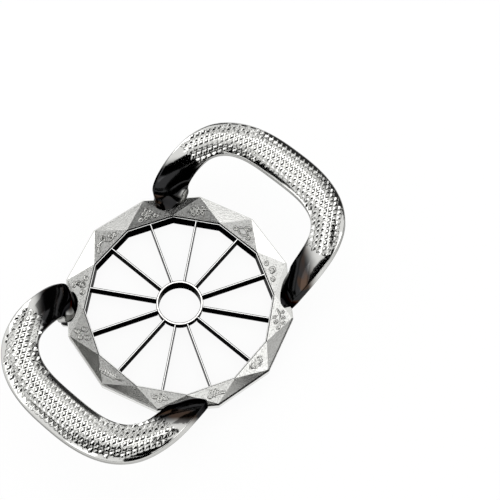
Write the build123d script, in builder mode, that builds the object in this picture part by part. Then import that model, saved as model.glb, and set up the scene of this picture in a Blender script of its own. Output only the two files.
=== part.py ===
from build123d import *
import os
from math import cos, hypot, radians, sin, sqrt

# Twelve-blade apple slicer: a faceted cast ring, a steel blade set and two arched handles.
# +Z is up, +X points at the right handle, and the origin is in the middle of the underside.
# Lengths are in millimetres and angles in degrees.

os.makedirs("parts", exist_ok=True)

# ---------------------------------------------------------------- driving dimensions
SIDES = 12                      # sides of the ring, which is also the number of blades
SECTOR = 360 / SIDES
HALF_SECTOR = SECTOR / 2

# Cast ring. The corners of the opening lie between those of the rim, which makes the facets.
opening_corner_r = 52.0         # middle to a corner of the opening
facet_width = 9.4               # from there out to a corner of the rim
opening_edge_z = 9.8            # upper edge of the opening, above the table
funnel_rise = 5.5               # from that edge up to the rim
rim_depth = 6.0                 # height of the rim's outer wall
rim_chamfer = 0.8
skirt_wall = 4.2                # wall round the blade set

# Blade set
blade_thickness = 1.0
blade_bottom_z = 0.5            # cutting edges, just clear of the table
blade_drop = 0.9                # blade tops under the opening's edge
blade_bevel = 1.8               # height of the ground edge
blade_edge = 0.15               # flat left at the tip of the ground edge
tang_drop = 2.3                 # tangs under the blade tops
outer_tang = 1.8                # how far a tang reaches into the cast ring
inner_tang_height = 2.4
core_outer_r = 12.8
core_wall = 1.3
core_bevel = 3.8                # height of the coring edge
core_drop = 0.7                 # top of the core ring under the opening's edge
band_thickness = 0.8

# Clamp ring under the skirt
clamp_thickness = 1.6
clamp_screw_count = 6
clamp_screw_r = 1.0
clamp_screw_head_r = 1.8
clamp_screw_head_depth = 1.0
clamp_screw_length = 6.0

# Handles
foot_outer_turn = 54.9          # ends of the foot: direction seen from above
foot_inner_turn = 36.1
foot_outer_lead = 4.2           # and how far they lie outside the opening's corners
foot_inner_lead = 8.5
foot_step = 2.0                 # underside of the foot above the opening's edge
finger_gap = 16.8               # from the rim out to the grip
grip_width = 20.8
grip_run = 22.1                 # from the foot to where the outer edge bends round
grip_flare = 6.0                # how far the outer edge spreads out from the foot
grip_power = 2.6                # squareness of the outer edge's corners
gap_run = 2.3                   # the same three sizes for the inner edge
gap_flare = 0.5
gap_power = 3.2
shoulder_step = 3.3             # the handle climbs in a quarter of an ellipse, from here
shoulder_rise = 31.4
shoulder_lead = 6.6             # its start, inside the inner edge's first corner
shoulder_reach = 16.3           # its end, past the inner edge of the grip
knee_share = 0.25               # how early the leg turns towards its foot
grip_crown = 2.6                # bulge of the top face
grip_side = 4.6                 # height of the side walls
grip_corner_r = 1.4             # rounding of the lower corners
grip_edge_r = 0.9               # rounding between the top face and the sides
grip_shell = 2.2                # wall left by the hollow underside
hollow_steps = 5                # how far the hollow runs, in stations each way
rib_thickness = 1.6
rib_setback = 0.6               # the ribs stop short of the lower edge

# Screws of the handles
foot_screw_r = 1.5
foot_screw_head_r = 2.6
foot_screw_head_depth = 2.0
foot_screw_bite = 6.4           # from under the flange up into the foot
foot_screw_pitch = 8.8          # between the two screws of a foot
foot_screw_shift = 0.8          # of the pair, towards the foot's inner end
foot_screw_setback = 2.0        # from the line between the foot's ends, away from the ring
recess_width = 0.6              # cross recess in every screw head
recess_depth = 0.6

# Clearances
fit_gap = 0.05                  # between a piece and the slot, bore or wall round it
end_gap = 0.3                   # past the end of a tang or screw
overcut = 2.0                   # how far a cut runs on past the wall it opens

STANDING = (Align.CENTER, Align.CENTER, Align.MIN)
GRIP_STEPS = 6                  # stations from the middle of the grip to the arm
LEG_STEPS = 3                   # and from there down to the foot

# ---------------------------------------------------------------- derived sizes
side_ratio = cos(radians(HALF_SECTOR))
opening_flat_r = opening_corner_r * side_ratio
rim_corner_r = opening_corner_r + facet_width
rim_z = opening_edge_z + funnel_rise
flange_z = rim_z - rim_depth
foot_z = opening_edge_z + foot_step
shoulder_z = opening_edge_z + shoulder_step
wall_corner_r = rim_corner_r + rim_chamfer / side_ratio
skirt_corner_r = (opening_flat_r + skirt_wall) / side_ratio
band_outer_flat_r = opening_flat_r - fit_gap
band_inner_flat_r = band_outer_flat_r - band_thickness
blade_top_z = opening_edge_z - blade_drop
blade_height = blade_top_z - blade_bottom_z
tang_top_z = blade_top_z - tang_drop
inner_tang_bottom_z = tang_top_z - inner_tang_height
outer_tang_end_r = opening_flat_r + outer_tang
inner_tang_end_r = core_outer_r - core_wall + end_gap
core_top_z = opening_edge_z - core_drop
clamp_screw_circle_r = (opening_corner_r + skirt_corner_r) / 2


# ---------------------------------------------------------------- cast ring
def twelve_sided(corner_r, turn, height):
    """A twelve-sided outline at a given height."""
    with BuildSketch(Plane.XY.offset(height)) as outline:
        RegularPolygon(corner_r, SIDES, rotation=turn)
    return outline.sketch


def funnel_outlines(corner_r, slope, turn):
    """Two outlines of a funnel that widens upwards from the edge of the opening."""
    height = funnel_rise + overcut
    wide_corner_r = corner_r + slope * height / side_ratio
    return [
        twelve_sided(corner_r, turn, opening_edge_z),
        twelve_sided(wide_corner_r, turn, opening_edge_z + height),
    ]


# Two funnels, turned half a sector apart, overlap in the space above the 24 facets.
wide_slope = (rim_corner_r - opening_flat_r) / funnel_rise
steep_slope = (rim_corner_r * side_ratio - opening_corner_r) / funnel_rise
with BuildPart() as facet_space:
    loft(funnel_outlines(opening_corner_r, wide_slope, HALF_SECTOR), ruled=True)
    loft(
        funnel_outlines(opening_corner_r / side_ratio, steep_slope, 0),
        ruled=True,
        mode=Mode.INTERSECT,
    )


# ---------------------------------------------------------------- path of a handle
def foot_end(lead, turn):
    """An end of the foot, from its direction and its place outside the opening's corners."""
    radius = opening_corner_r + lead
    return Vector(radius * cos(radians(turn)), radius * sin(radians(turn)), foot_z)


foot_outer = foot_end(foot_outer_lead, foot_outer_turn)
foot_inner = foot_end(foot_inner_lead, foot_inner_turn)
gap_reach = rim_corner_r + finger_gap
gap_start = foot_inner.X + gap_run
gap_spread = foot_inner.Y + gap_flare
grip_reach = gap_reach + grip_width
grip_start = foot_outer.X + grip_run
grip_spread = foot_outer.Y + grip_flare
shoulder_start_r = hypot(gap_start, gap_spread) - shoulder_lead
shoulder_end_r = gap_reach + shoulder_reach
shoulder_run = shoulder_end_r - shoulder_start_r


def shoulder_height(x, y):
    """Height of a handle's edge over a point of the plan."""
    distance = min(max(hypot(x, y), shoulder_start_r), shoulder_end_r)
    share = (shoulder_end_r - distance) / shoulder_run
    return shoulder_z + shoulder_rise * sqrt(1 - share**2)


def edge_points(reach, spread, start, power, foot):
    """One edge of a handle, from the middle of the grip round the corner and down to the foot."""
    points = []
    for step in range(GRIP_STEPS + 1):
        angle = radians(90 * step / GRIP_STEPS)
        x = start + (reach - start) * max(0, cos(angle)) ** (2 / power)
        y = spread * sin(angle) ** (2 / power)
        points.append(Vector(x, y, shoulder_height(x, y)))
    fall = shoulder_height(start, spread) - shoulder_height(start - 1, spread)
    knee_y = spread + (foot.Y - spread) * knee_share
    knee = Vector(foot.X, knee_y, points[-1].Z - fall * (start - foot.X))
    leg = Bezier(points[-1], knee, foot)
    points += [leg @ (step / LEG_STEPS) for step in range(1, LEG_STEPS + 1)]
    return points


def across_x(point):
    """The same point on the other side of the XZ plane."""
    return Vector(point.X, -point.Y, point.Z)


outer_half = edge_points(grip_reach, grip_spread, grip_start, grip_power, foot_outer)
inner_half = edge_points(gap_reach, gap_spread, gap_start, gap_power, foot_inner)
outer_edge = outer_half[:0:-1] + [across_x(point) for point in outer_half]
inner_edge = inner_half[:0:-1] + [across_x(point) for point in inner_half]
MIDDLE = len(outer_half) - 1    # station in the middle of the grip
LAST = len(outer_edge) - 1


def station_middle(index):
    return (outer_edge[index] + inner_edge[index]) / 2


def station_width(index):
    return (outer_edge[index] - inner_edge[index]).length


def station_plane(index):
    """Plane across the handle: x towards its outer edge, y out of its top face."""
    across = (outer_edge[index] - inner_edge[index]).normalized()
    if index == 0:
        along = Vector(0, 0, 1)
    elif index == LAST:
        along = Vector(0, 0, -1)
    else:
        along = station_middle(index + 1) - station_middle(index - 1)
    along = along - across * along.dot(across)
    return Plane(origin=station_middle(index), x_dir=across, z_dir=along)


def handle_section(index):
    """Crowned top, straight sides and a flat underside, with rounded corners."""
    half = station_width(index) / 2
    with BuildSketch(station_plane(index)) as section:
        with BuildLine():
            ThreePointArc((-half, 0), (0, grip_crown), (half, 0))
            Polyline((half, 0), (half, -grip_side), (-half, -grip_side), (-half, 0))
        make_face()
        fillet(section.vertices().group_by(Axis.Y)[0], grip_corner_r)
        fillet(section.vertices().group_by(Axis.Y)[-1], grip_edge_r)
    return section.sketch


def hollow_section(index, shell, depth):
    """The space under a shell of a given wall, down to a given depth below the edges."""
    half = station_width(index) / 2 - shell
    roof = grip_crown - shell
    spring = -shell / 2
    with BuildSketch(station_plane(index)) as hollow:
        with BuildLine():
            ThreePointArc((-half, spring), (0, roof), (half, spring))
            Polyline((half, spring), (half, -depth), (-half, -depth), (-half, spring))
        make_face()
    return hollow.sketch


def foot_screw_places():
    """Where the screws of both feet stand, seen from above."""
    places = []
    for index in (0, LAST):
        plane = station_plane(index)
        for offset in (-foot_screw_pitch / 2, foot_screw_pitch / 2):
            across = offset - foot_screw_shift
            spot = plane.from_local_coords(Vector(across, -foot_screw_setback, 0))
            places.append(Location((spot.X, spot.Y, 0)))
    return places


def on_both_sides(places):
    """Places for the right handle, followed by those for the left one."""
    return places + [Location((0, 0, 0), (0, 0, 180)) * place for place in places]


def clamp_screw_places():
    """Where the screws of the clamp ring stand: under corners of the opening."""
    return PolarLocations(clamp_screw_circle_r, clamp_screw_count, start_angle=HALF_SECTOR)


with BuildPart() as foot_lug:
    for station in (0, LAST):
        extrude(handle_section(station), amount=flange_z - foot_z, dir=(0, 0, 1))

with BuildPart() as ring_hollow:
    extrude(twelve_sided(opening_corner_r, HALF_SECTOR, clamp_thickness), amount=rim_z)
    add(facet_space.part)

with BuildPart() as ring_blank:
    extrude(twelve_sided(wall_corner_r, 0, flange_z), amount=rim_depth)
    chamfer(ring_blank.faces().sort_by(Axis.Z)[-1].edges(), rim_chamfer)
    skirt_outline = twelve_sided(skirt_corner_r, HALF_SECTOR, clamp_thickness)
    extrude(skirt_outline, amount=flange_z - clamp_thickness)
    add(ring_hollow.part, mode=Mode.SUBTRACT)

with BuildPart() as frame_ring:
    add(foot_lug.part)
    add(foot_lug.part.rotate(Axis.Z, 180))
    add(ring_hollow.part, mode=Mode.SUBTRACT)
    add(ring_blank.part)
    # pockets for the outer tangs, open towards the clamp ring
    with BuildSketch(Plane.XY.offset(clamp_thickness)):
        with PolarLocations(opening_flat_r, SIDES):
            Rectangle(2 * (outer_tang + end_gap), blade_thickness + 2 * fit_gap)
    extrude(amount=tang_top_z + fit_gap - clamp_thickness, mode=Mode.SUBTRACT)
    with BuildSketch(Plane.XY.offset(clamp_thickness)):
        with clamp_screw_places():
            Circle(clamp_screw_r + fit_gap)
    extrude(amount=clamp_screw_length - clamp_thickness + end_gap, mode=Mode.SUBTRACT)
    with BuildSketch(Plane.XY.offset(flange_z)):
        with Locations(*on_both_sides(foot_screw_places())):
            Circle(foot_screw_r + fit_gap)
    extrude(amount=rim_depth, mode=Mode.SUBTRACT)

# ---------------------------------------------------------------- blade set
with BuildPart() as blade_blank:
    with BuildSketch(Plane.YZ.offset(core_outer_r)):
        with BuildLine():
            Polyline(
                (-blade_thickness / 2, blade_top_z),
                (blade_thickness / 2, blade_top_z),
                (blade_thickness / 2, blade_bottom_z + blade_bevel),
                (blade_edge / 2, blade_bottom_z),
                (-blade_edge / 2, blade_bottom_z),
                (-blade_thickness / 2, blade_bottom_z + blade_bevel),
                close=True,
            )
        make_face()
    extrude(amount=band_inner_flat_r - core_outer_r)
    with BuildSketch(Plane.XZ):
        with Locations((band_inner_flat_r, clamp_thickness)):
            Rectangle(
                outer_tang_end_r - band_inner_flat_r,
                tang_top_z - clamp_thickness,
                align=(Align.MIN, Align.MIN),
            )
        with Locations((inner_tang_end_r, inner_tang_bottom_z)):
            Rectangle(
                core_outer_r - inner_tang_end_r,
                inner_tang_height,
                align=(Align.MIN, Align.MIN),
            )
    extrude(amount=blade_thickness / 2, both=True)

with BuildPart() as blade_band:
    with BuildSketch(Plane.XY.offset(blade_bottom_z)):
        RegularPolygon(band_outer_flat_r / side_ratio, SIDES, rotation=HALF_SECTOR)
        RegularPolygon(
            band_inner_flat_r / side_ratio, SIDES, rotation=HALF_SECTOR, mode=Mode.SUBTRACT
        )
    extrude(amount=blade_height)
    with BuildSketch(Plane.XY.offset(clamp_thickness - fit_gap)):
        with PolarLocations(band_inner_flat_r, SIDES):
            Rectangle(2 * (band_thickness + overcut), blade_thickness + 2 * fit_gap)
    extrude(amount=tang_top_z - clamp_thickness + 2 * fit_gap, mode=Mode.SUBTRACT)

with BuildPart() as core_ring:
    with BuildSketch(Plane.XZ):
        with BuildLine():
            Polyline(
                (core_outer_r - core_wall, core_top_z),
                (core_outer_r, core_top_z),
                (core_outer_r, blade_bottom_z + core_bevel),
                (core_outer_r - core_wall + blade_edge, blade_bottom_z),
                (core_outer_r - core_wall, blade_bottom_z),
                close=True,
            )
        make_face()
    revolve(axis=Axis.Z)
    with BuildSketch(Plane.XY.offset(inner_tang_bottom_z - fit_gap)):
        with PolarLocations(core_outer_r, SIDES):
            Rectangle(2 * (core_wall + overcut), blade_thickness + 2 * fit_gap)
    extrude(amount=inner_tang_height + 2 * fit_gap, mode=Mode.SUBTRACT)

with BuildPart() as clamp_ring:
    with BuildSketch():
        RegularPolygon(skirt_corner_r, SIDES, rotation=HALF_SECTOR)
        RegularPolygon(
            opening_corner_r, SIDES, rotation=HALF_SECTOR, mode=Mode.SUBTRACT
        )
    extrude(amount=clamp_thickness)
    with clamp_screw_places():
        Cone(
            clamp_screw_head_r + fit_gap,
            clamp_screw_r + fit_gap,
            clamp_screw_head_depth,
            align=STANDING,
            mode=Mode.SUBTRACT,
        )
        Cylinder(
            clamp_screw_r + fit_gap,
            clamp_thickness,
            align=STANDING,
            mode=Mode.SUBTRACT,
        )

# ---------------------------------------------------------------- handles
with BuildPart() as handle_right:
    loft([handle_section(station) for station in range(LAST + 1)])
    hollow_stations = range(MIDDLE - hollow_steps, MIDDLE + hollow_steps + 1)
    loft(
        [hollow_section(station, grip_shell, grip_side + overcut) for station in hollow_stations],
        mode=Mode.SUBTRACT,
    )
    for station in hollow_stations[1:-1:2]:
        extrude(
            hollow_section(station, grip_shell / 2, grip_side - rib_setback),
            amount=rib_thickness / 2,
            both=True,
        )
    # the ring is cut away without its lugs, because those only touch the feet
    add(ring_blank.part, mode=Mode.SUBTRACT)
    with BuildSketch(Plane.XY.offset(flange_z)):
        with Locations(*foot_screw_places()):
            Circle(foot_screw_r + fit_gap)
    extrude(amount=foot_screw_bite + end_gap, mode=Mode.SUBTRACT)

with BuildPart() as handle_left:
    add(handle_right.part.rotate(Axis.Z, 180))


# ---------------------------------------------------------------- screws
def cross_recess(face_z, width):
    """A cross recess cut upwards into a head whose face looks down."""
    with Locations((0, 0, face_z)):
        for length, breadth in ((width, recess_width), (recess_width, width)):
            Box(length, breadth, recess_depth, align=STANDING, mode=Mode.SUBTRACT)


with BuildPart() as clamp_screw:
    Cone(clamp_screw_head_r, clamp_screw_r, clamp_screw_head_depth, align=STANDING)
    Cylinder(clamp_screw_r, clamp_screw_length, align=STANDING)
    cross_recess(0, clamp_screw_head_r)

with BuildPart() as clamp_screws:
    with clamp_screw_places():
        add(clamp_screw.part)

with BuildPart() as foot_screw:
    with Locations((0, 0, flange_z - foot_screw_head_depth)):
        Cylinder(foot_screw_head_r, foot_screw_head_depth, align=STANDING)
    fillet(foot_screw.edges().sort_by(Axis.Z)[0], foot_screw_head_depth / 2)
    with Locations((0, 0, flange_z)):
        Cylinder(foot_screw_r, foot_screw_bite, align=STANDING)
    cross_recess(flange_z - foot_screw_head_depth, foot_screw_head_r)

with BuildPart() as handle_screws:
    with Locations(*on_both_sides(foot_screw_places())):
        add(foot_screw.part)

# ---------------------------------------------------------------- finished pieces
finished = {
    "frame_ring": frame_ring,
    "blade_band": blade_band,
    "core_ring": core_ring,
    "clamp_ring": clamp_ring,
    "clamp_screws": clamp_screws,
    "handle_right": handle_right,
    "handle_left": handle_left,
    "handle_screws": handle_screws,
}
for name, piece in finished.items():
    piece.part.label = name
    export_step(piece.part, f"parts/{name}.step")

for number in range(SIDES):
    with BuildPart() as blade:
        add(blade_blank.part.rotate(Axis.Z, number * SECTOR))
    blade.part.label = f"blade_{number + 1:02d}"
    export_step(blade.part, f"parts/{blade.part.label}.step")
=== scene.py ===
# %% [markdown]
# # Dressing a twelve-blade apple slicer
#
# The real object is a hand tool. A faceted ring, cast in zinc and plated, holds twelve steel
# blades round a coring tube, and two arched handles press it down over an apple. Its shape comes
# from CAD. This lesson adds what CAD leaves plain: the studs on the grips, small relief emblems
# on the ring, the finish of each metal, and a light tent that makes polished metal readable.

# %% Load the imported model
from itertools import product
from math import cos, hypot, pi, radians, sin, sqrt, tan

import bmesh
import bpy
from mathutils import Matrix, Quaternion, Vector
from mathutils.bvhtree import BVHTree


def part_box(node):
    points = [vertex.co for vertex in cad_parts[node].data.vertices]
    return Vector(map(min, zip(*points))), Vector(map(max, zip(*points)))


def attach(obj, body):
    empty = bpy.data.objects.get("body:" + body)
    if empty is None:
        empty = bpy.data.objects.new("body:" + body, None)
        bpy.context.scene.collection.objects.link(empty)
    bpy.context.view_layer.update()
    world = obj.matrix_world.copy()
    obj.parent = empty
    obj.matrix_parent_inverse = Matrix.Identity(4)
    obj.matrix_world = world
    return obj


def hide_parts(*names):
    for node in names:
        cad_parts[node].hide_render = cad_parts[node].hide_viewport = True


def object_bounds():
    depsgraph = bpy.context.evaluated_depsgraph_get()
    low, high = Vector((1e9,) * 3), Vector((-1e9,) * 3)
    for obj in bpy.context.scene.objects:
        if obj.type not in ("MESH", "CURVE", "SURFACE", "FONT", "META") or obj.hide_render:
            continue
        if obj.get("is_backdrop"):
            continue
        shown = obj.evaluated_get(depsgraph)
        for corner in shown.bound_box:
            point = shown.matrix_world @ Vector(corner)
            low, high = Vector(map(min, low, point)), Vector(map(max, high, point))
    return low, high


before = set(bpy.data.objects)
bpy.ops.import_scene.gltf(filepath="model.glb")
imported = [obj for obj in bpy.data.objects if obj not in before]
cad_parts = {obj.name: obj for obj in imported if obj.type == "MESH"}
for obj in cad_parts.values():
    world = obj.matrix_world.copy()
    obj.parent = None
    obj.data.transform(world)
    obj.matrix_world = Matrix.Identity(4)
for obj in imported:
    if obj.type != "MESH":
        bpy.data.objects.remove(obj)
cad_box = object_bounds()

MM = 0.001                      # of Blender's metres
print("CAD box in mm:", [[round(value / MM, 1) for value in corner] for corner in cad_box])

# %% [markdown]
# ## Small helpers for materials
#
# Colours are written as sRGB hex, as a paint chart gives them, and Blender wants linear values,
# so one function converts them and another darkens the result. A third adds a node with its
# settings and its links in one go, and a fourth starts an empty material. The alternative, a
# group of ready-made nodes, hides what each finish is made of.

# %% Colours and nodes
# a Mix node has sockets for each type of data, and these are the ones for colours
SHARE, FIRST, SECOND, MIXED = 0, 6, 7, 2


def colour(code):
    """An sRGB hex colour as the linear RGBA that Blender uses."""
    values = [int(code[i : i + 2], 16) / 255 for i in (1, 3, 5)]
    linear = [v / 12.92 if v <= 0.04045 else ((v + 0.055) / 1.055) ** 2.4 for v in values]
    return (*linear, 1.0)


def darker(tone, share):
    """A colour at a share of its lightness."""
    return (*(share * value for value in tone[:3]), 1.0)


def add_node(tree, kind, inputs=(), **settings):
    """Adds a shader node. Its inputs, by name or in order, are values, sockets or nodes."""
    node = tree.nodes.new("ShaderNode" + kind)
    for name, value in settings.items():
        setattr(node, name, value)
    for name, value in inputs.items() if isinstance(inputs, dict) else enumerate(inputs):
        if isinstance(value, bpy.types.Node):
            value = value.outputs[0]
        if isinstance(value, bpy.types.NodeSocket):
            tree.links.new(value, node.inputs[name])
        else:
            node.inputs[name].default_value = value
    return node


def start_material(name):
    """A material with nothing in its node tree yet."""
    material = bpy.data.materials.new(name)
    material.use_nodes = True
    material.node_tree.nodes.clear()
    return material, material.node_tree


print("a mid grey, #808080, is", round(colour("#808080")[0], 3), "in linear light")

# %% [markdown]
# ## Finish 1: polished plating on the handles
#
# The handles are zinc castings, polished on a wheel and plated with nickel and chrome. Such a
# surface has almost no colour of its own and mirrors the room. Two things are added: faint lines
# left by the wheel, which keep it from looking like a perfect mirror, and a painted dark
# reflection with warm streaks on the legs, painted into the colour where the room they face is
# dark. It follows the distance from the middle of the ring, and stays on the faces that look up or
# inwards, so the walls of the finger gap are left bright.

# %% Where the legs take the painted dark reflection
FACING_EDGE = 0.4               # how far a face must look inwards to take any painted dark reflection
FACING_SPREAD = 0.12            # and how much farther to take all of it
UPWARD_START = 0.25             # a face that looks up takes it this much sooner
PAINTED_REFLECTION_FULL = 71 * MM             # distance from the tool's axis at which the painted dark reflection thins out
PAINTED_REFLECTION_GONE = 77 * MM           # and at which it is gone
PAINTED_REFLECTION_LEAN = 1.6 * MM            # the painted dark reflection reaches farther on the left handle by this much
CLOUD_SIZE = 14 * MM            # of the clouds that make its edge wander
CLOUD_DEPTH = 4 * MM            # most that they take from it, so the edge wanders by some 2 mm


def from_axis(tree, place):
    """Distance from the Z axis."""
    flat = add_node(tree, "VectorMath", [place, (1, 1, 0)], operation="MULTIPLY")
    return add_node(tree, "VectorMath", [flat], operation="LENGTH").outputs["Value"]


def painted_reflection_share(tree, place):
    """How much painted dark reflection a place takes, from 0 to 1."""
    normal = add_node(tree, "NewGeometry").outputs["Normal"]
    along = add_node(tree, "SeparateXYZ", [place]).outputs
    looks = add_node(tree, "SeparateXYZ", [normal]).outputs
    # a face looks inwards when its normal points back along x
    side = add_node(tree, "Math", [along["X"]], operation="SIGN")
    outward = add_node(tree, "Math", [looks["X"], side], operation="MULTIPLY")
    inward = add_node(tree, "Math", [outward, -1.0], operation="MULTIPLY")
    upward = add_node(tree, "Math", [looks["Z"], UPWARD_START], operation="ADD")
    facing = add_node(tree, "Math", [upward, inward], operation="MAXIMUM")
    turned = add_node(
        tree, "MapRange",
        {"Value": facing, "From Min": FACING_EDGE, "From Max": FACING_EDGE + FACING_SPREAD},
        interpolation_type="SMOOTHSTEP",
    )
    # the painted dark reflection ends on a circle round the ring
    leant = add_node(tree, "VectorMath", [place, (PAINTED_REFLECTION_LEAN, 0, 0)], operation="ADD")
    cloud = add_node(tree, "TexNoise", {"Vector": place, "Scale": 1 / CLOUD_SIZE, "Detail": 2.0})
    wander = add_node(
        tree, "Math", [cloud, CLOUD_DEPTH, from_axis(tree, leant)], operation="MULTIPLY_ADD"
    )
    near = add_node(
        tree, "MapRange", {"Value": wander, "From Min": PAINTED_REFLECTION_GONE, "From Max": PAINTED_REFLECTION_FULL},
        interpolation_type="SMOOTHSTEP",
    )
    return add_node(tree, "Math", [near, turned], operation="MULTIPLY")


print("smoke thins out from", round(PAINTED_REFLECTION_FULL / MM), "to", round(PAINTED_REFLECTION_GONE / MM), "mm")

# %% Polished plated zinc
REFLECTION_STREAK_SIZE = 5 * MM            # of the painted warm streaks of reflection on the legs
POLISHING_LINES = 0.4 * MM      # apart; real ones are finer and wouldn't show


def polished_zinc_plate():
    """Bright plating with wheel lines; painted dark reflection with warm streaks on the legs."""
    bright, painted_dark_reflection, painted_warm_reflection = colour("#D8D8D5"), colour("#313132"), colour("#42352D")
    material, tree = start_material("polished_zinc_plate")
    place = add_node(tree, "TexCoord").outputs["Object"]
    # the painted warm streaks run across the painted dark reflection
    long = add_node(tree, "Mapping", {"Vector": place, "Scale": (0.25, 0.25, 1.0)})
    bands = add_node(tree, "TexNoise", {"Vector": long, "Scale": 1 / REFLECTION_STREAK_SIZE, "Detail": 1.0})
    # where the painted warm reflection shows
    warm = add_node(
        tree, "MapRange", {"Value": bands, "From Min": 0.56, "From Max": 0.68},
        interpolation_type="SMOOTHSTEP",
    )
    painted_reflection_tone = add_node(
        tree, "Mix", {SHARE: warm, FIRST: painted_dark_reflection, SECOND: painted_warm_reflection}, data_type="RGBA"
    ).outputs[MIXED]
    # the plating's own colour, and the painted dark reflection on the legs
    base = add_node(
        tree, "Mix", {SHARE: painted_reflection_share(tree, place), FIRST: bright, SECOND: painted_reflection_tone},
        data_type="RGBA",
    ).outputs[MIXED]
    # the wheel's lines are hardly deep, but they change how rough the plating is
    drawn = add_node(tree, "Mapping", {"Vector": place, "Scale": (1.0, 0.06, 1.0)})
    lines = add_node(
        tree, "TexNoise", {"Vector": drawn, "Scale": 1 / POLISHING_LINES, "Detail": 2.0}
    )
    rough = add_node(tree, "MapRange", {"Value": lines, "To Min": 0.06, "To Max": 0.13})
    bump = add_node(tree, "Bump", {"Height": lines, "Distance": 0.002 * MM, "Strength": 0.3})
    # thin plating is also duller to light that grazes it, so its specular tint is grey
    shader = add_node(
        tree, "BsdfPrincipled",
        {"Base Color": base, "Metallic": 1.0, "Roughness": rough, "Normal": bump,
         "Specular Tint": colour("#9A9A9A")},
    )
    add_node(tree, "OutputMaterial", [shader])
    return material


handle_finish = polished_zinc_plate()
print("made", handle_finish.name)

# %% [markdown]
# ## Finish 2: satin plating on the ring
#
# The ring is the same plated zinc, but its mould was grained, so the light spreads. The panels
# that carry an emblem have the coarser grain, as leather-grained tools do, and the plain facets
# between them are nearly smooth. The two kinds differ only in how steeply they slope, so the
# slope of a face tells the material which one it is on.

# %% Satin plated zinc
PANEL_SLOPE = 0.85              # upward part of a face's normal, between the two kinds
SLOPE_SPREAD = 0.01             # to each side of it
GRAIN = 0.75 * MM               # real grain is about 0.3 mm; this is as fine as shows
GRAIN_DEPTH = 0.18 * MM
PLAIN_SHARE = 0.25              # of a panel's grain, left on a plain facet
GRAIN_ROUGHNESS = 0.08          # that the grain adds at most
PATCH_SIZE = 9 * MM             # plating is a little uneven, in patches


def satin_zinc_plate(name, grained, lightness=1.0):
    """Plating over a grained mould: grained and lightness are shares of the ring's own."""
    material, tree = start_material(name)
    place = add_node(tree, "TexCoord").outputs["Object"]
    normal = add_node(tree, "NewGeometry").outputs["Normal"]
    upward = add_node(tree, "SeparateXYZ", [normal]).outputs["Z"]
    gentle = add_node(
        tree, "MapRange",
        {"Value": upward, "From Min": PANEL_SLOPE - SLOPE_SPREAD,
         "From Max": PANEL_SLOPE + SLOPE_SPREAD},
    )
    panel = add_node(tree, "Math", [gentle, grained], operation="MULTIPLY")
    grain = add_node(
        tree, "TexNoise",
        {"Vector": place, "Scale": 1 / GRAIN, "Detail": 3.0, "Roughness": 0.65},
    )
    depth = add_node(
        tree, "Math", [panel, 1 - PLAIN_SHARE, PLAIN_SHARE], operation="MULTIPLY_ADD"
    )
    relief = add_node(tree, "Math", [grain, depth], operation="MULTIPLY")
    bump = add_node(tree, "Bump", {"Height": relief, "Distance": GRAIN_DEPTH})
    patch = add_node(tree, "TexNoise", {"Vector": place, "Scale": 1 / PATCH_SIZE, "Detail": 2.0})
    low, high = [darker(colour(code), lightness) for code in ("#D4D4D1", "#E4E4E1")]
    tone = add_node(
        tree, "Mix", {SHARE: patch, FIRST: low, SECOND: high}, data_type="RGBA"
    ).outputs[MIXED]
    # the hollows of the grain are painted darker, as painted shade
    pits = add_node(
        tree, "MapRange", {"Value": grain, "From Min": 0.38, "From Max": 0.49},
        interpolation_type="SMOOTHSTEP",
    )
    pit_shaded_tone = add_node(
        tree, "Mix", {SHARE: pits, FIRST: colour("#B0B0AD"), SECOND: tone}, data_type="RGBA"
    ).outputs[MIXED]
    share = add_node(
        tree, "Math", [panel, 1 - PLAIN_SHARE, PLAIN_SHARE * grained], operation="MULTIPLY_ADD"
    )
    base = add_node(
        tree, "Mix", {SHARE: share, FIRST: tone, SECOND: pit_shaded_tone}, data_type="RGBA"
    ).outputs[MIXED]
    # and the plating is duller where the grain is coarse
    dull = add_node(tree, "MapRange", {"Value": panel, "To Min": 0.14, "To Max": 0.25})
    rough = add_node(tree, "Math", [grain, GRAIN_ROUGHNESS, dull], operation="MULTIPLY_ADD")
    shader = add_node(
        tree, "BsdfPrincipled",
        {"Base Color": base, "Metallic": 1.0, "Roughness": rough, "Normal": bump},
    )
    add_node(tree, "OutputMaterial", [shader])
    return material


ring_finish = satin_zinc_plate("satin_zinc_plate", grained=1.0)
relief_finish = satin_zinc_plate("rubbed_zinc_plate", grained=0.0)
# a dark copy of the ring's plating: painted shade at the feet of the emblems' ridges
ridge_foot_shade_finish = satin_zinc_plate("ridge_foot_painted_shade", grained=0.0, lightness=0.2)
print("made", ring_finish.name + ",", relief_finish.name, "and", ridge_foot_shade_finish.name)

# %% [markdown]
# ## Finish 3: the steels of the blade set
#
# Blades, band and coring tube are hardened stainless strip. Their faces are painted dark, a
# painted reflection of a dark room, and a grey specular tint dulls light that grazes them. Only a
# line along the middle of each upper edge keeps a bright colour, a painted highlight, with painted
# dark beside it. A face that looks up is bright where it is near the middle of that line: a spoke
# for a blade, a circle for the tube and a polygon of twelve sides for the band.

# %% Distances from the middle of a painted highlight line
SECTOR = 2 * pi / 12            # angle from one blade to the next


def off_spoke(tree, place):
    """The angle to the nearest of the twelve blades, which stand like spokes round the axis."""
    along = add_node(tree, "SeparateXYZ", [place]).outputs
    turn = add_node(tree, "Math", [along["Y"], along["X"]], operation="ARCTAN2")
    ahead = add_node(tree, "Math", [turn, SECTOR / 2], operation="ADD")
    within = add_node(tree, "Math", [ahead, SECTOR], operation="FLOORED_MODULO")
    return add_node(tree, "Math", [within, SECTOR / 2], operation="SUBTRACT")


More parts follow.
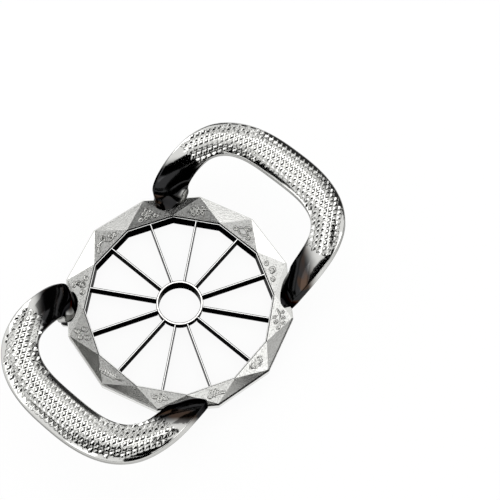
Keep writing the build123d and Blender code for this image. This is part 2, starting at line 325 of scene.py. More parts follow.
def from_blade(tree, place):
    """Distance from the middle of a blade."""
    lean = add_node(tree, "Math", [off_spoke(tree, place)], operation="SINE")
    aside = add_node(tree, "Math", [lean, from_axis(tree, place)], operation="MULTIPLY")
    return add_node(tree, "Math", [aside], operation="ABSOLUTE")


def from_side(tree, place, radius):
    """Distance from the sides of the opening's outline, which lie at a radius from the axis."""
    lean = add_node(tree, "Math", [off_spoke(tree, place)], operation="COSINE")
    out = add_node(tree, "Math", [lean, from_axis(tree, place)], operation="MULTIPLY")
    gap = add_node(tree, "Math", [out, radius], operation="SUBTRACT")
    return add_node(tree, "Math", [gap], operation="ABSOLUTE")


def from_circle(tree, place, radius):
    """Distance from a circle round the axis."""
    gap = add_node(tree, "Math", [from_axis(tree, place), radius], operation="SUBTRACT")
    return add_node(tree, "Math", [gap], operation="ABSOLUTE")


tube_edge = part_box("core_ring")[1].x
band_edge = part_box("blade_band")[1].x
tube_line = tube_edge - 0.65 * MM           # half the tube's wall
band_line = band_edge - 0.58 * MM           # the painted highlight lies on the inner half of its wall
print("ground lines at", round(tube_line / MM, 2), "and", round(band_line / MM, 2), "mm")

# %% Strip steel with painted dark faces and a painted highlight line
EDGE_SLOPE = 0.55               # upward part of a normal from which a face can take the painted highlight
EDGE_SPREAD = 0.1               # and how much farther until it is wholly one
LINE_SPREAD = 0.04 * MM         # how sharply the painted highlight line ends


def strip_with_painted_light(name, painted_highlight, painted_dark_steel, lines_mm, roughness, off_middle, highlight_width_mm):
    """off_middle gives the distance from the middle of the line, in a tree and at a place."""
    material, tree = start_material(name)
    place = add_node(tree, "TexCoord").outputs["Object"]
    normal = add_node(tree, "NewGeometry").outputs["Normal"]
    looks = add_node(tree, "SeparateXYZ", [normal]).outputs
    upward = add_node(tree, "Math", [looks["Z"]], operation="ABSOLUTE")
    edge = add_node(
        tree, "MapRange",
        {"Value": upward, "From Min": EDGE_SLOPE, "From Max": EDGE_SLOPE + EDGE_SPREAD},
    )
    reach = highlight_width_mm * MM / 2
    middle = add_node(
        tree, "MapRange",
        {"Value": off_middle(tree, place), "From Min": reach + LINE_SPREAD,
         "From Max": reach - LINE_SPREAD},
    )
    # the painted highlight: faces that look up, near the middle of the line
    bright = add_node(tree, "Math", [edge, middle], operation="MULTIPLY")
    # rolling and grinding lines lie flat, one above the other
    flat = add_node(tree, "Mapping", {"Vector": place, "Scale": (0.08, 0.08, 1.0)})
    lines = add_node(
        tree, "TexNoise", {"Vector": flat, "Scale": 1 / (lines_mm * MM), "Detail": 3.0}
    )
    # the painted dark faces, varied by the lines
    dark = add_node(
        tree, "Mix", {SHARE: lines, FIRST: painted_dark_steel, SECOND: darker(painted_dark_steel, 0.6)}, data_type="RGBA"
    ).outputs[MIXED]
    base = add_node(
        tree, "Mix", {SHARE: bright, FIRST: dark, SECOND: painted_highlight}, data_type="RGBA"
    ).outputs[MIXED]
    rough = add_node(
        tree, "MapRange", {"Value": lines, "To Min": roughness - 0.05, "To Max": roughness + 0.08}
    )
    bump = add_node(tree, "Bump", {"Height": lines, "Distance": 0.01 * MM, "Strength": 0.4})
    shader = add_node(
        tree, "BsdfPrincipled",
        {"Base Color": base, "Metallic": 1.0, "Roughness": rough, "Normal": bump,
         "Specular Tint": colour("#8A8A8A")},
    )
    add_node(tree, "OutputMaterial", [shader])
    return material


blade_finish = strip_with_painted_light(
    "blade_strip_painted_light", colour("#E8E8E6"), colour("#222224"), lines_mm=0.5, roughness=0.22,
    off_middle=from_blade, highlight_width_mm=0.3,
)
core_finish = strip_with_painted_light(
    "coring_tube_painted_light", colour("#ECEAE6"), colour("#222223"), lines_mm=0.5, roughness=0.2,
    off_middle=lambda tree, place: from_circle(tree, place, tube_line), highlight_width_mm=0.6,
)
band_finish = strip_with_painted_light(
    "band_strip_painted_light", colour("#C4C4C2"), colour("#1E1E20"), lines_mm=0.6, roughness=0.22,
    off_middle=lambda tree, place: from_side(tree, place, band_line), highlight_width_mm=0.28,
)
print("made", blade_finish.name + ",", core_finish.name, "and", band_finish.name)

# %% [markdown]
# ## Finish 4: stamped sheet and screws underneath
#
# Nobody sees them in use, so they are plain stainless: a stamped flat ring with the fine
# scratches of its rolling, and turned screws with rings left by the lathe.

# %% Plain stainless
def plain_stainless(name, tone, lines_mm, roughness, stretch):
    """Bare steel with the lines of its making; stretch below 1 draws them out along an axis."""
    material, tree = start_material(name)
    place = add_node(tree, "TexCoord").outputs["Object"]
    drawn = add_node(tree, "Mapping", {"Vector": place, "Scale": stretch})
    lines = add_node(
        tree, "TexNoise", {"Vector": drawn, "Scale": 1 / (lines_mm * MM), "Detail": 3.0}
    )
    base = add_node(
        tree, "Mix", {SHARE: lines, FIRST: tone, SECOND: darker(tone, 0.8)}, data_type="RGBA"
    ).outputs[MIXED]
    rough = add_node(
        tree, "MapRange", {"Value": lines, "To Min": roughness - 0.06, "To Max": roughness + 0.08}
    )
    bump = add_node(tree, "Bump", {"Height": lines, "Distance": 0.01 * MM, "Strength": 0.3})
    shader = add_node(
        tree, "BsdfPrincipled",
        {"Base Color": base, "Metallic": 1.0, "Roughness": rough, "Normal": bump},
    )
    add_node(tree, "OutputMaterial", [shader])
    return material


clamp_finish = plain_stainless(
    "stamped_stainless_sheet", colour("#C8C8C6"), lines_mm=0.4, roughness=0.3,
    stretch=(1.0, 0.05, 1.0),
)
screw_finish = plain_stainless(
    "turned_stainless_screws", colour("#BEBEBC"), lines_mm=0.3, roughness=0.25,
    stretch=(1.0, 1.0, 0.2),
)
print("made", clamp_finish.name, "and", screw_finish.name)

# %% [markdown]
# ## Handing out the finishes
#
# A CAD node whose shape is right stays as it is and only takes a material. The alternative, a
# rebuilt mesh, would add nothing to a blade or a screw.

# %% Give the CAD nodes their finishes
finish_of = {
    "frame_ring": ring_finish,
    "blade_band": band_finish,
    "core_ring": core_finish,
    "clamp_ring": clamp_finish,
    "clamp_screws": screw_finish,
    "handle_screws": screw_finish,
    "handle_right": handle_finish,
    "handle_left": handle_finish,
}
finish_of.update({f"blade_{number:02d}": blade_finish for number in range(1, 13)})
for name, finish in finish_of.items():
    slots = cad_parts[name].material_slots
    for slot in slots:
        slot.material = finish
    if not slots:
        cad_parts[name].data.materials.append(finish)
print("finishes given to", len(finish_of), "of", len(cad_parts), "nodes")

# %% [markdown]
# ## Finding the top of a grip
#
# The studs have to sit on the casting exactly, so its surface is measured, not guessed.
# Straight rays dropped from above meet the top face. First they find the inner and the outer
# edge in many directions round the finger gap, which gives the middle line of the grip. Then any
# place on the grip is a distance along that line and a distance across it.

# %% Measure a handle with dropped rays
RAY_START = 200 * MM            # well above the tool


def surface_tree(mesh):
    """A search tree of a surface."""
    points = [vertex.co.copy() for vertex in mesh.vertices]
    return BVHTree.FromPolygons(points, [tuple(face.vertices) for face in mesh.polygons])


def dropped(tree, x, y):
    """Where a ray from above meets the surface, and the normal there; both None if it misses."""
    return tree.ray_cast(Vector((x, y, RAY_START)), Vector((0, 0, -1)))[:2]


class GripLine:
    """The middle line along the top of a handle."""

    pivot_depth = 0.4           # of the handle's own depth, inwards from its outer end
    half_sweep = 125            # degrees to each side, as seen from the pivot
    directions = 240            # in that sweep
    step = 0.5 * MM             # of the search for an edge
    farthest = 90 * MM          # from the pivot, where that search ends

    def __init__(self, piece, side):
        self.tree = surface_tree(piece.data)
        corners = [Vector(corner) for corner in piece.bound_box]
        low, high = corners[0], corners[6]
        reach = max(abs(low.x), abs(high.x))
        self.pivot = Vector((side * (reach - self.pivot_depth * (high.x - low.x)), 0.0))
        self.line = []
        for number in range(self.directions + 1):
            turn = 2 * self.half_sweep * number / self.directions - self.half_sweep
            way = Vector((side * cos(radians(turn)), side * sin(radians(turn))))
            hits = [
                count * self.step
                for count in range(1, int(self.farthest / self.step))
                if dropped(self.tree, *(self.pivot + way * count * self.step))[0]
            ]
            if hits:
                middle = self.pivot + way * (hits[0] + hits[-1]) / 2
                top = dropped(self.tree, *middle)[0]
                if top is not None:
                    self.line.append(top)
        self.lengths = [0.0]
        for first, second in zip(self.line, self.line[1:]):
            self.lengths.append(self.lengths[-1] + (second - first).length)
        self.length = self.lengths[-1]

    def position(self, x, y):
        """How far along the middle line and how far outside it a place is, in millimetres."""
        gaps = [hypot(point.x - x, point.y - y) for point in self.line]
        nearest = gaps.index(min(gaps))
        from_pivot = (self.line[nearest].xy - self.pivot).length
        outside = (Vector((x, y)) - self.pivot).length > from_pivot
        across = gaps[nearest] if outside else -gaps[nearest]
        return (self.lengths[nearest] - self.length / 2) / MM, across / MM

    def top_at(self, x, y):
        """The point of the top face over a place in millimetres, or None."""
        return dropped(self.tree, x * MM, y * MM)[0]

    def normal_at(self, x, y):
        """The top face's normal over a place in millimetres; no length beside the grip."""
        return dropped(self.tree, x * MM, y * MM)[1] or Vector()


grips = {
    "right": GripLine(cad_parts["handle_right"], 1),
    "left": GripLine(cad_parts["handle_left"], -1),
}
for side, grip in grips.items():
    print(side, "grip: middle line of", round(grip.length / MM, 1), "mm")

# %% [markdown]
# ## The handle castings
#
# The CAD handles are as high as the real ones with their studs, so the studs must rise to that
# height and not above it. Each handle is replaced by a copy of its own surface whose grip lies
# lower by the height of a stud, and is rounded off a little more towards its outer edge, where
# the palm lies. Scaling the whole tool would do the first too, but would spoil every other size.

# %% Copies of the handles, with room for the studs
stud_height = 0.72 * MM
lowering_start = 25 * MM        # the copy is the same as the CAD handle below this height
palm_start = 0.5                # from the middle line outwards, in millimetres
palm_round = 0.014 / MM         # how fast the surface falls away beyond it
palm_full = 60                  # the rounding is whole so far along the grip from its middle,
palm_end = 74                   # in millimetres, and gone so far
crease = radians(28)            # a fold as sharp as this stays a visible edge


def add_piece(name, mesh, finish):
    """Puts a mesh on the tool as a piece that rides with it and takes a finish."""
    mesh.materials.clear()
    mesh.materials.append(finish)
    piece = bpy.data.objects.new(name, mesh)
    bpy.context.scene.collection.objects.link(piece)
    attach(piece, "root")
    return piece


def casting_copy(side, grip):
    """A CAD handle's surface with its top let down to make room for the studs."""
    node = f"handle_{side}"
    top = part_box(node)[1].z
    shell = bmesh.new()
    shell.from_mesh(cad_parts[node].data)
    # the CAD mesh has loose faces, so their corners are joined first
    bmesh.ops.remove_doubles(shell, verts=shell.verts, dist=0.001 * MM)
    for vertex in shell.verts:
        share = (vertex.co.z - lowering_start) / (top - lowering_start)
        if share <= 0:
            continue
        along, across = grip.position(vertex.co.x, vertex.co.y)
        beyond = max(0.0, across - palm_start) * MM
        ease = max(0.0, min(1.0, (palm_end - abs(along)) / (palm_end - palm_full)))
        vertex.co.z -= stud_height * share * (2 - share) + palm_round * beyond ** 2 * share * ease
    mesh = bpy.data.meshes.new(node + "_casting")
    shell.to_mesh(mesh)
    shell.free()
    mesh.shade_smooth()
    mesh.set_sharp_from_angle(angle=crease)
    piece = add_piece(node + "_casting", mesh, handle_finish)
    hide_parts(node)
    return piece


for side, grip in grips.items():
    casting = casting_copy(side, grip)
    grip.tree = surface_tree(casting.data)
    print(casting.name, "has", len(casting.data.polygons), "faces")

# %% [markdown]
# ## Studs on the grips
#
# Each grip is covered with low lozenge-shaped studs, cast in one with the handle so that wet
# hands don't slip. They are what two sets of straight grooves leave standing, which cross at 60
# degrees. The mould cuts the grooves straight, so the studs keep one direction all over the
# grip, also where it bends. A bump texture would give the glints but no outline, and the studs
# are 0.7 mm high, so each is real geometry. All studs of a handle are one mesh.

# %% Shape of one stud
corner_points = 4               # per corner of a stud
stud_levels = [                 # middle to side, corner radius and height, in millimetres
    (1.31, 0.42, -0.10),
    (0.56, 0.26, 0.62),
    (0.44, 0.20, 0.72),
]


def lozenge(reach, radius):
    """Outline of a lozenge with rounded corners; its sides lie at a reach from its middle."""
    points = []
    for corner in range(4):
        turn = 90 * corner                          # the long way lies along x
        half = 30 if corner % 2 == 0 else 60        # half the angle of this corner
        tip = (reach - radius) / sin(radians(half))
        centre = Vector((cos(radians(turn)), sin(radians(turn)))) * tip
        for step in range(corner_points):
            angle = radians(turn + (90 - half) * (2 * step / (corner_points - 1) - 1))
            points.append(centre + radius * Vector((cos(angle), sin(angle))))
    return points


stud_rings = [(lozenge(reach, radius), height) for reach, radius, height in stud_levels]
print("a stud is drawn by", len(stud_rings), "rings of", len(stud_rings[0][0]), "points")

# %% Where the studs stop
zone_reach = 62.0               # half the length of the studded stretch, in millimetres
zone_round = 9.0                # how far its ends round off, in an arc that is
zone_breadth = 13.0             # this wide to each side of the middle line
zone_inner = -8.8               # its inner edge, from the middle line outwards
zone_outer = 0.9                # plain metal left along the outer edge
stud_slope = 0.7                # least upward part of the normal under a stud
edge_slope = 0.4                # and just outside it
well_inside = 3.0               # a stud so far in is whole
smallest_share, share_step = 0.2, 0.15      # of a corner that is cut short


def in_zone(grip, place, spare=0.0):
    """Whether a place lies in the studded stretch, with so much to spare."""
    along, across = grip.position(place.x * MM, place.y * MM)
    bend = 1 - sqrt(1 - min(abs(across) / zone_breadth, 1.0) ** 2)
    if abs(along) > zone_reach - zone_round * bend - spare or across < zone_inner + spare:
        return False
    outwards = (place - grip.pivot / MM).normalized() * (zone_outer + spare)
    on_edge = grip.normal_at(*(place + outwards)).z > edge_slope
    return on_edge and grip.normal_at(*place).z > stud_slope


def cut_outline(grip, middle, outline):
    """How much of each corner of a stud the edge of the studded stretch leaves."""
    if in_zone(grip, middle, well_inside):
        return [1.0] * len(outline)
    shares = []
    for corner in outline:
        share = 1.0
        while share > smallest_share and not in_zone(grip, middle + corner * share):
            share -= share_step
        shares.append(share)
    return shares


for side, grip in grips.items():
    print(side, "studs cover", round(200 * zone_reach * MM / grip.length), "% of the middle line")

# %% Cover both grips with studs
stud_pitch = 3.08               # from stud to stud along a row, in millimetres
row_pitch = stud_pitch * sin(radians(60))
rows, places = range(-40, 41), range(-16, 17)           # enough of each to cover a grip
least_stud = 0.6                # a stud nearer than this to the edge is left out
footing = [(0, 0), (0.7, 0), (-0.7, 0), (0, 0.7), (0, -0.7)]    # gives a stud its direction
stud_shifts = {"right": (-1.0, -0.1), "left": (1.7, -0.25)}


def mesh_of(name, points, faces):
    """A mesh from its points and faces."""
    mesh = bpy.data.meshes.new(name)
    mesh.from_pydata(points, [], faces)
    mesh.validate()
    return mesh


def add_stud(grip, middle, points, faces):
    """Adds one stud, cut to the studded stretch, to a list of points and one of faces."""
    # a stud stands along the mean normal round its middle
    upright = sum((grip.normal_at(*(middle + Vector(step))) for step in footing), Vector())
    upright.normalize()
    shares = cut_outline(grip, middle, stud_rings[0][0])
    corners_each, first = len(shares), len(points)
    for outline, height in stud_rings:
        for corner, share in zip(outline, shares):
            points.append(grip.top_at(*(middle + corner * share)) + upright * height * MM)
    for level in range(len(stud_rings) - 1):
        low = first + level * corners_each
        for i in range(corners_each):
            a, b = low + i, low + (i + 1) % corners_each
            faces.append((a, b, b + corners_each, a + corners_each))
    faces.append(tuple(range(len(points) - corners_each, len(points))))


for side, grip in grips.items():
    points, faces, studs = [], [], 0
    shift = Vector(stud_shifts[side])
    for row, number in product(rows, places):
        middle = Vector((row * row_pitch, (number + 0.5 * (row % 2)) * stud_pitch)) + shift
        if in_zone(grip, middle, least_stud):
            add_stud(grip, middle, points, faces)
            studs += 1
    name = f"grip_studs_{side}"
    add_piece(name, mesh_of(name, points, faces), handle_finish)
    print(name, "has", studs, "studs")

# %% [markdown]
# ## Emblems on the ring
#
# Twelve panels of the ring slope from the opening up to the rim, and each carries a small
# orchard motif in raised line: fruit, leaves, blossom and tendrils, as on traditional
# kitchenware. A motif is drawn flat, in millimetres, with x along the panel's lower edge and y
# up its slope. It is made of a few kinds of line, such as a bow, a leaf and a curl. An image
# mapped onto the panel would be quicker, but it blurs close by and casts no light or shade.

# %% Lines that make a motif
def bow(start, end, bulge, count=7):
    """A line from start to end that bows out to its left by a share of its length."""
    (x0, y0), (x1, y1) = start, end
    points = []
    for step in range(count + 1):
        share = step / count
        swell = 4 * bulge * share * (1 - share)
        points.append((x0 + (x1 - x0) * share - (y1 - y0) * swell,
                       y0 + (y1 - y0) * share + (x1 - x0) * swell))
    return points


def polar(x, y, turn, reach):
    """The point at a turn and a reach from another."""
    return x + reach * cos(radians(turn)), y + reach * sin(radians(turn))


def leaf(x, y, turn, size):
    """Two bowed sides and a rib."""
    tip = polar(x, y, turn, size)
    rib = [(x, y), polar(x, y, turn, size * 0.7)]
    return [bow((x, y), tip, 0.28), bow((x, y), tip, -0.28), rib]


def petal(x, y, turn, size):
    """Two bowed sides."""
    tip = polar(x, y, turn, size)
    return [bow((x, y), tip, 0.32, 5), bow((x, y), tip, -0.32, 5)]


def circle(x, y, radius, count=10):
    """A closed ring."""
    return [[polar(x, y, 360 * step / count, radius) for step in range(count + 1)]]


def curl(x, y, turn, size, way=1, count=14):
    """A tendril that rolls up to a quarter of its size, to the left or, with way -1, right."""
    centre = polar(x, y, turn + 90 * way, size)
    points = []
    for step in range(count + 1):
        share = step / count
        angle = turn - 90 * way + way * 420 * share
        points.append(polar(*centre, angle, size * (1 - 0.75 * share)))
    return [points]


def mirrored(lines):
    """The lines and their mirror image across x = 0."""
    return lines + [[(-x, y) for x, y in line] for line in lines]


print("a leaf has", len(leaf(0, 0, 0, 1)), "lines, a petal", len(petal(0, 0, 0, 1)))

# %% Motifs of fruit and wheat
def apple():
    half = [bow((0, 1.3), (0, -2.2), -0.75, 9)]
    return mirrored(half) + [bow((0, 1.2), (0.5, 2.6), 0.15)] + leaf(0.4, 2.0, 15, 2.6) + (
        leaf(-2.6, -1.6, 165, 2.4) + leaf(2.6, -1.6, 15, 2.4)
    )


def pear():
    half = [bow((0, 2.3), (0.9, 0.4), 0.1) + bow((0.9, 0.4), (0, -2.4), -0.62, 8)[1:]]
    return mirrored(half) + [bow((0, 2.2), (-0.4, 3.3), -0.2)] + leaf(-0.2, 2.9, 170, 2.6) + (
        leaf(2.2, -1.8, 10, 2.6) + leaf(-2.2, -1.8, 170, 2.6)
    )


def cherries():
    return circle(-2.2, -1.4, 1.2) + circle(1.9, -1.5, 1.2) + leaf(0.2, 2.2, 10, 3.0) + [
        bow((-2.0, -0.3), (0.1, 2.2), 0.15),
        bow((1.7, -0.4), (0.1, 2.2), -0.15),
    ] + leaf(-0.2, 2.1, 185, 2.6)


def wheat():
    lines = [bow((-5.0, -1.2), (4.4, 0.8), 0.05)]
    for number in range(5):
        x, y = -1.8 + 1.3 * number, -0.3 + 0.3 * number
        lines += petal(x, y, 58, 1.7) + petal(x, y, -34, 1.7)
    return lines + petal(4.6, 0.9, 12, 1.6)


def grapes():
    lines = []
    for row, count in enumerate((4, 3, 2)):
        for number in range(count):
            lines += circle(1.35 * (number - (count - 1) / 2), 1.0 - 1.25 * row, 0.58, 8)
    return lines + curl(2.6, 0.8, 30, 0.9) + leaf(-2.6, 0.9, 165, 2.4) + [[(0, 1.6), (0.2, 2.7)]]


def berries():
    lines = [bow((-4.4, -1.6), (3.6, 0.9), 0.12)]
    for x, y, turn in ((-2.6, -0.5, 95), (-0.4, 0.4, 80), (1.8, 0.9, 70), (-1.2, -0.6, -60)):
        tip = polar(x, y, turn, 1.3)
        lines += [[(x, y), tip]] + circle(*polar(*tip, turn, 0.6), 0.6, 8)
    return lines + leaf(3.4, 0.8, -10, 2.2) + leaf(1.2, -0.2, -50, 2.2)


print("the bunch of grapes takes", len(grapes()), "lines")

# %% Motifs of leaves and flowers
def sprig():
    lines = [bow((-4.6, -1.4), (4.4, 1.2), 0.08)]
    for x, turn in ((-3.0, 70), (-1.0, 65), (1.2, 60)):
        lines += leaf(x, -0.9 + 0.28 * (x + 3), turn, 2.5)
        lines += leaf(x + 0.4, -0.9 + 0.28 * (x + 3), turn - 110, 2.2)
    return lines


def blossom():
    lines = circle(0, 0, 0.6)
    for petal_turn in range(90, 450, 72):
        lines += petal(*polar(0, 0, petal_turn, 0.8), petal_turn, 2.0)
    return lines + leaf(-2.4, -1.4, 190, 2.6) + leaf(2.4, -1.4, -10, 2.6)


def vine():
    return [bow((-5, -1), (0, 0), 0.25), bow((0, 0), (5, -1), -0.25)] + (
        curl(-3.0, -0.2, 60, 0.9) + curl(2.4, -0.6, 100, 1.0, -1) + leaf(0, 0, 80, 2.8)
        + leaf(-4.6, -1, 200, 1.8) + leaf(4.6, -1, -20, 1.8)
    )


def bud():
    return petal(0, -0.6, 90, 3.4) + petal(0, -0.6, 90, 2.2) + leaf(-0.3, -1.0, 150, 3.6) + (
        leaf(0.3, -1.0, 30, 3.6) + [bow((0, -0.6), (0, -2.4), 0.1)]
    )


def fan():
    lines = []
    for turn in (20, 55, 90, 125, 160):
        lines += leaf(*polar(0, -2.0, turn, 0.7), turn, 3.3)
    return lines


def tendrils():
    half = curl(0.2, -1.6, 20, 1.5) + curl(0.3, -1.2, 75, 1.0) + leaf(2.9, -1.9, 5, 2.4)
    return mirrored(half)


motifs = [apple, sprig, blossom, vine, pear, cherries, wheat, bud, grapes, fan, berries, tendrils]
print("drew", sum(len(motif()) for motif in motifs), "lines for", len(motifs), "motifs")

# %% [markdown]
# ## Casting the motifs
#
# Curves with a bevel would do for the lines, but a ridge of known height is simpler to keep on a
# sloping panel, so each line is a strip of mesh with a rounded back. Its foot is painted dark, a
# painted shade beside the ridge, and that draws the motif. Rays dropped on the ring find each
# panel's slope.

# %% Ridges on a sloping panel
line_breadth = 0.68             # of a ridge, in millimetres
line_height = 0.7               # at its crest, in millimetres
line_end = 0.55                 # a ridge narrows to this share at its ends
profile = [                     # across a ridge: sideways in half breadths, share of its height
    (-1.9, 0.03), (-1.0, 0.06), (-0.6, 0.7), (0.0, 1.0), (0.6, 0.7), (1.0, 0.06), (1.9, 0.03),
]
across_ridge = len(profile)
inner_radius = band_edge        # middle of a side of the opening
panel_height = 12.4 * MM        # up the slope, from the opening to the rim
emblem_middle = 0.38            # of the panel's height, up from the opening
slope_spots = (1.02, 1.10)      # where the slope is measured, as shares of the inner radius


def ridge(line, place, points, faces):
    """Adds a rounded ridge along a line in a panel's own x and y."""
    last = len(line) - 1
    first = len(points)
    for index, (x, y) in enumerate(line):
        (x0, y0), (x1, y1) = line[max(index - 1, 0)], line[min(index + 1, last)]
        dx, dy = x1 - x0, y1 - y0
        length = hypot(dx, dy) or 1.0
        narrow = line_end if index in (0, last) else 1.0
        for sideways, level in profile:
            reach = sideways * narrow * line_breadth / 2
            points.append(place(x - dy / length * reach, y + dx / length * reach,
                                level * narrow * line_height))
    for index in range(last):
        for i in range(across_ridge - 1):
            a = first + index * across_ridge + i
            faces.append((a, a + across_ridge, a + across_ridge + 1, a + 1))


def panel_frame(tree, turn):
    """Maps x, y and height over the panel at a given turn to a point in space."""
    outwards = Vector((cos(radians(turn)), sin(radians(turn)), 0))
    sideways = Vector((-outwards.y, outwards.x, 0))
    near, far = [dropped(tree, *(outwards * inner_radius * spot).xy)[0] for spot in slope_spots]
    upslope = (far - near).normalized()
    normal = upslope.cross(sideways)
    if normal.z < 0:
        normal.negate()
    foot = near - upslope * (near.xy.length - inner_radius) / hypot(upslope.x, upslope.y)
    middle = foot + upslope * panel_height * emblem_middle

    def place(x, y, height):
        return middle + (sideways * -x + upslope * y + normal * height) * MM

    return place


print("a ridge is", line_breadth, "mm wide and", line_height, "mm high")

# %% Cast the motifs onto the panels
motif_size = 1.2                # enlarges the drawings
ring_tree = surface_tree(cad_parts["frame_ring"].data)
for number, motif in enumerate(motifs):
    points, faces = [], []
    place = panel_frame(ring_tree, 360 / len(motifs) * number)
    for line in motif():
        ridge([(x * motif_size, y * motif_size) for x, y in line], place, points, faces)
    name = f"emblem_{number + 1:02d}_{motif.__name__}"
    mesh = mesh_of(name, points, faces)
    add_piece(name, mesh, relief_finish)
    mesh.materials.append(ridge_foot_shade_finish)
    mesh.shade_smooth()
    # faces at the foot of a ridge take the painted shade
    for face in mesh.polygons:
        columns = {corner % across_ridge for corner in face.vertices}
        at_foot = columns in ({0, 1}, {across_ridge - 2, across_ridge - 1})
        face.material_index = int(at_foot)
print("cast", len(motifs), "emblems")

# %% [markdown]
# ## Camera
#
# The tool is seen from high above, a little from the left, through a lens of moderate length,
# and it stands left of the middle of the picture, so the camera aims to the right of it.

# %% Place the camera
view_turn = -46.8               # degrees round the tool; 0 looks along +Y
view_height = 70.3              # degrees above the table
view_distance = 586.6 * MM      # to the middle of the opening
view_middle = Vector((0, 0, 9.8 * MM))
view_aim = Vector((51.97, -7.47, 0)) * MM
view_roll = 6.73                # degrees
picture_width = 500             # in pixels, as is the focal length
focal_pixels = 1076.3


def around(turn, height, distance):
    """A point seen from the tool at a turn from the camera's own, and a height in degrees."""
    angle = radians(view_turn - 90 + turn)
    flat = cos(radians(height))
    way = Vector((cos(angle) * flat, sin(angle) * flat, sin(radians(height))))
    return view_middle + distance * way


camera_data = bpy.data.cameras.new("picture_camera")
camera_data.sensor_width = 36
camera_data.lens = focal_pixels / picture_width * camera_data.sensor_width
camera_data.clip_start, camera_data.clip_end = 0.01, 20
camera = bpy.data.objects.new("picture_camera", camera_data)
bpy.context.scene.collection.objects.link(camera)
camera.location = around(0, view_height, view_distance)
camera.rotation_mode = "QUATERNION"
camera.rotation_quaternion = (view_aim - camera.location).to_track_quat("-Z", "Y") @ Quaternion(
    (0, 0, 1), radians(view_roll)
)
bpy.context.scene.camera = camera
print("lens", round(camera_data.lens, 1), "mm, camera at", [round(v / MM) for v in camera.location])

# %% [markdown]
# ## A light tent with flags
#
# Polished metal shows its surroundings, so lighting it means building them. A white tent gives
# the bright faces, softboxes add the brightest ones, and black cards, which studios call flags,
# draw the dark ones. The table is white for the camera and for the metal alike, and keeps a
# little of the tool's shadow.

# %% Table and tent
TABLE_GLOW = 0.92               # share of the table's white that no shadow touches
TENT_LIGHT = 0.9                # what the tent gives as light; it looks a full 1


def sees_white(tree):
    """1 for rays that show a surface or its mirror image, 0 for those that light it."""
    path = add_node(tree, "LightPath").outputs
    seen = path["Is Camera Ray"]
    for kind in ("Is Glossy Ray", "Is Transmission Ray"):
        seen = add_node(tree, "Math", [seen, path[kind]], operation="MAXIMUM")
    return seen


def white_table():
    """White paper that glows where it is seen."""
    material, tree = start_material("white_table")
    paper = add_node(tree, "BsdfDiffuse", {"Color": colour("#F4F4F3")})
    glow = add_node(tree, "Emission", {"Color": (1, 1, 1, 1), "Strength": 1.0})
    share = add_node(tree, "Math", [sees_white(tree), TABLE_GLOW], operation="MULTIPLY")
    mix = add_node(tree, "MixShader", [share, paper, glow])
    add_node(tree, "OutputMaterial", [mix])
    return material


def flat_sheet(name, width, height, finish):
    """A rectangle that faces +Z."""
    x, y = width / 2, height / 2
    mesh = mesh_of(name, [(-x, -y, 0), (x, -y, 0), (x, y, 0), (-x, y, 0)], [(0, 1, 2, 3)])
    mesh.materials.append(finish)
    sheet = bpy.data.objects.new(name, mesh)
    bpy.context.scene.collection.objects.link(sheet)
    sheet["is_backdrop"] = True
    return sheet


table_size = 8.0                # metres, so that its edges stay out of every view
table = flat_sheet("table", table_size, table_size, white_table())
table.location.z = -0.02 * MM   # just clear of the tool's lowest faces

world = bpy.data.worlds.new("white_tent")
bpy.context.scene.world = world
world.use_nodes = True
tent = world.node_tree
tent.nodes.clear()
strength = add_node(
    tent, "Math", [sees_white(tent), 1 - TENT_LIGHT, TENT_LIGHT], operation="MULTIPLY_ADD"
)
background = add_node(tent, "Background", {"Color": (1, 1, 1, 1), "Strength": strength})
add_node(tent, "OutputWorld", [background])
bpy.context.scene.view_settings.view_transform = "Standard"
print("set up the", table.name, "and the", world.name)

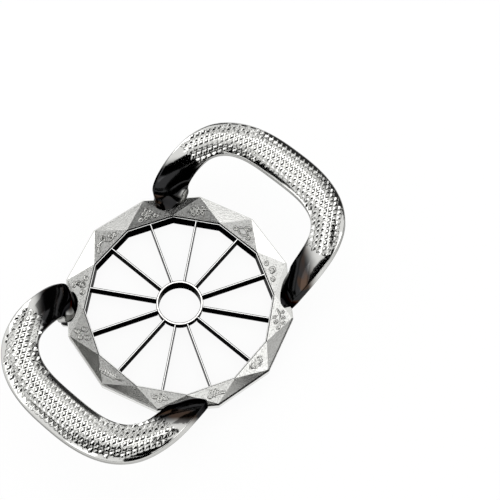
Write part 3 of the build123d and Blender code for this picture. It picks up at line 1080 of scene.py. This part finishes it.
# %% Softboxes
box_distance = 0.9              # metres from the middle of the opening
boxes = [                       # name, turn, height, width and depth in metres, brightness
    ("top_box", 180, 74, 0.7, 0.5, 1.1),
    ("right_box", 82, 33, 0.4, 0.26, 1.25),
    ("left_box", -82, 34, 0.4, 0.3, 1.15),
    ("front_left_box", -40, 37, 0.25, 0.2, 1.25),
    ("front_right_box", 44, 38, 0.22, 0.2, 0.75),
    ("back_left_box", -148, 32, 0.6, 0.26, 1.5),
    ("back_right_box", 152, 58, 0.3, 0.2, 1.15),
]
for name, turn, height, width, depth, brightness in boxes:
    data = bpy.data.lights.new(name, "AREA")
    data.shape = "RECTANGLE"
    data.size, data.size_y = width, depth
    data.energy = brightness * pi * width * depth       # at brightness 1, as white as the tent
    lamp = bpy.data.objects.new(name, data)
    bpy.context.scene.collection.objects.link(lamp)
    lamp.location = around(turn, height, box_distance)
    lamp.rotation_mode = "QUATERNION"
    lamp.rotation_quaternion = (view_middle - lamp.location).to_track_quat("-Z", "Y")
    lamp.visible_camera = False
print("lit", len(boxes), "softboxes")

# %% Flags
card_distance = 0.8             # metres from the middle of the opening
cards = [                       # name, turns, heights, level, where 1 is white
    ("camera_card", (-61, 63), (47, 80), 0.0),
    ("upper_right_card", (84, 130), (53, 77), 0.0),
    ("front_right_card", (-8, 25), (-3, 46), 0.0),
    ("right_front_card", (25, 62), (-3, 23), 0.0),
    ("right_card", (62, 118), (-3, 20), 0.02),
    ("front_left_card", (-50, -8), (-3, 12), 0.05),
    ("back_right_card", (118, 160), (-3, 30), 0.03),
    ("back_right_shade", (120, 160), (30, 42), 0.25),
    ("back_low_card", (160, 192), (-3, 10), 0.03),
    ("back_left_card", (192, 232), (-3, 18), 0.45),
    ("left_card", (232, 310), (-3, 8), 0.5),
]
for name, turns, heights, level in cards:
    material, tree = start_material(name)
    add_node(tree, "OutputMaterial", [add_node(tree, "Emission", {"Strength": level})])
    half_turn, half_height = [radians(high - low) / 2 for low, high in (turns, heights)]
    middle_height = sum(heights) / 2
    width = 2 * card_distance * cos(radians(middle_height)) * tan(half_turn)
    sheet = flat_sheet(name, width, 2 * card_distance * tan(half_height), material)
    spot = around(sum(turns) / 2, middle_height, card_distance)
    facing = (view_middle - spot).normalized()
    sideways = Vector((0, 0, 1)).cross(facing).normalized()
    axes = Matrix((sideways, facing.cross(sideways), facing)).transposed()
    sheet.matrix_world = Matrix.Translation(spot) @ axes.to_4x4()
    # only mirrors see it
    sheet.visible_camera = sheet.visible_diffuse = sheet.visible_shadow = False
print("hung", len(cards), "cards round the tool")

# %% [markdown]
#
# Dressing must not change how big the tool is, so the box of the CAD model and the box of the
# dressed one are set side by side.

# %% Measure the result and finish
def corners(box):
    return [list(corner) for corner in box]


{"cad": corners(cad_box), "visual": corners(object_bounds())}
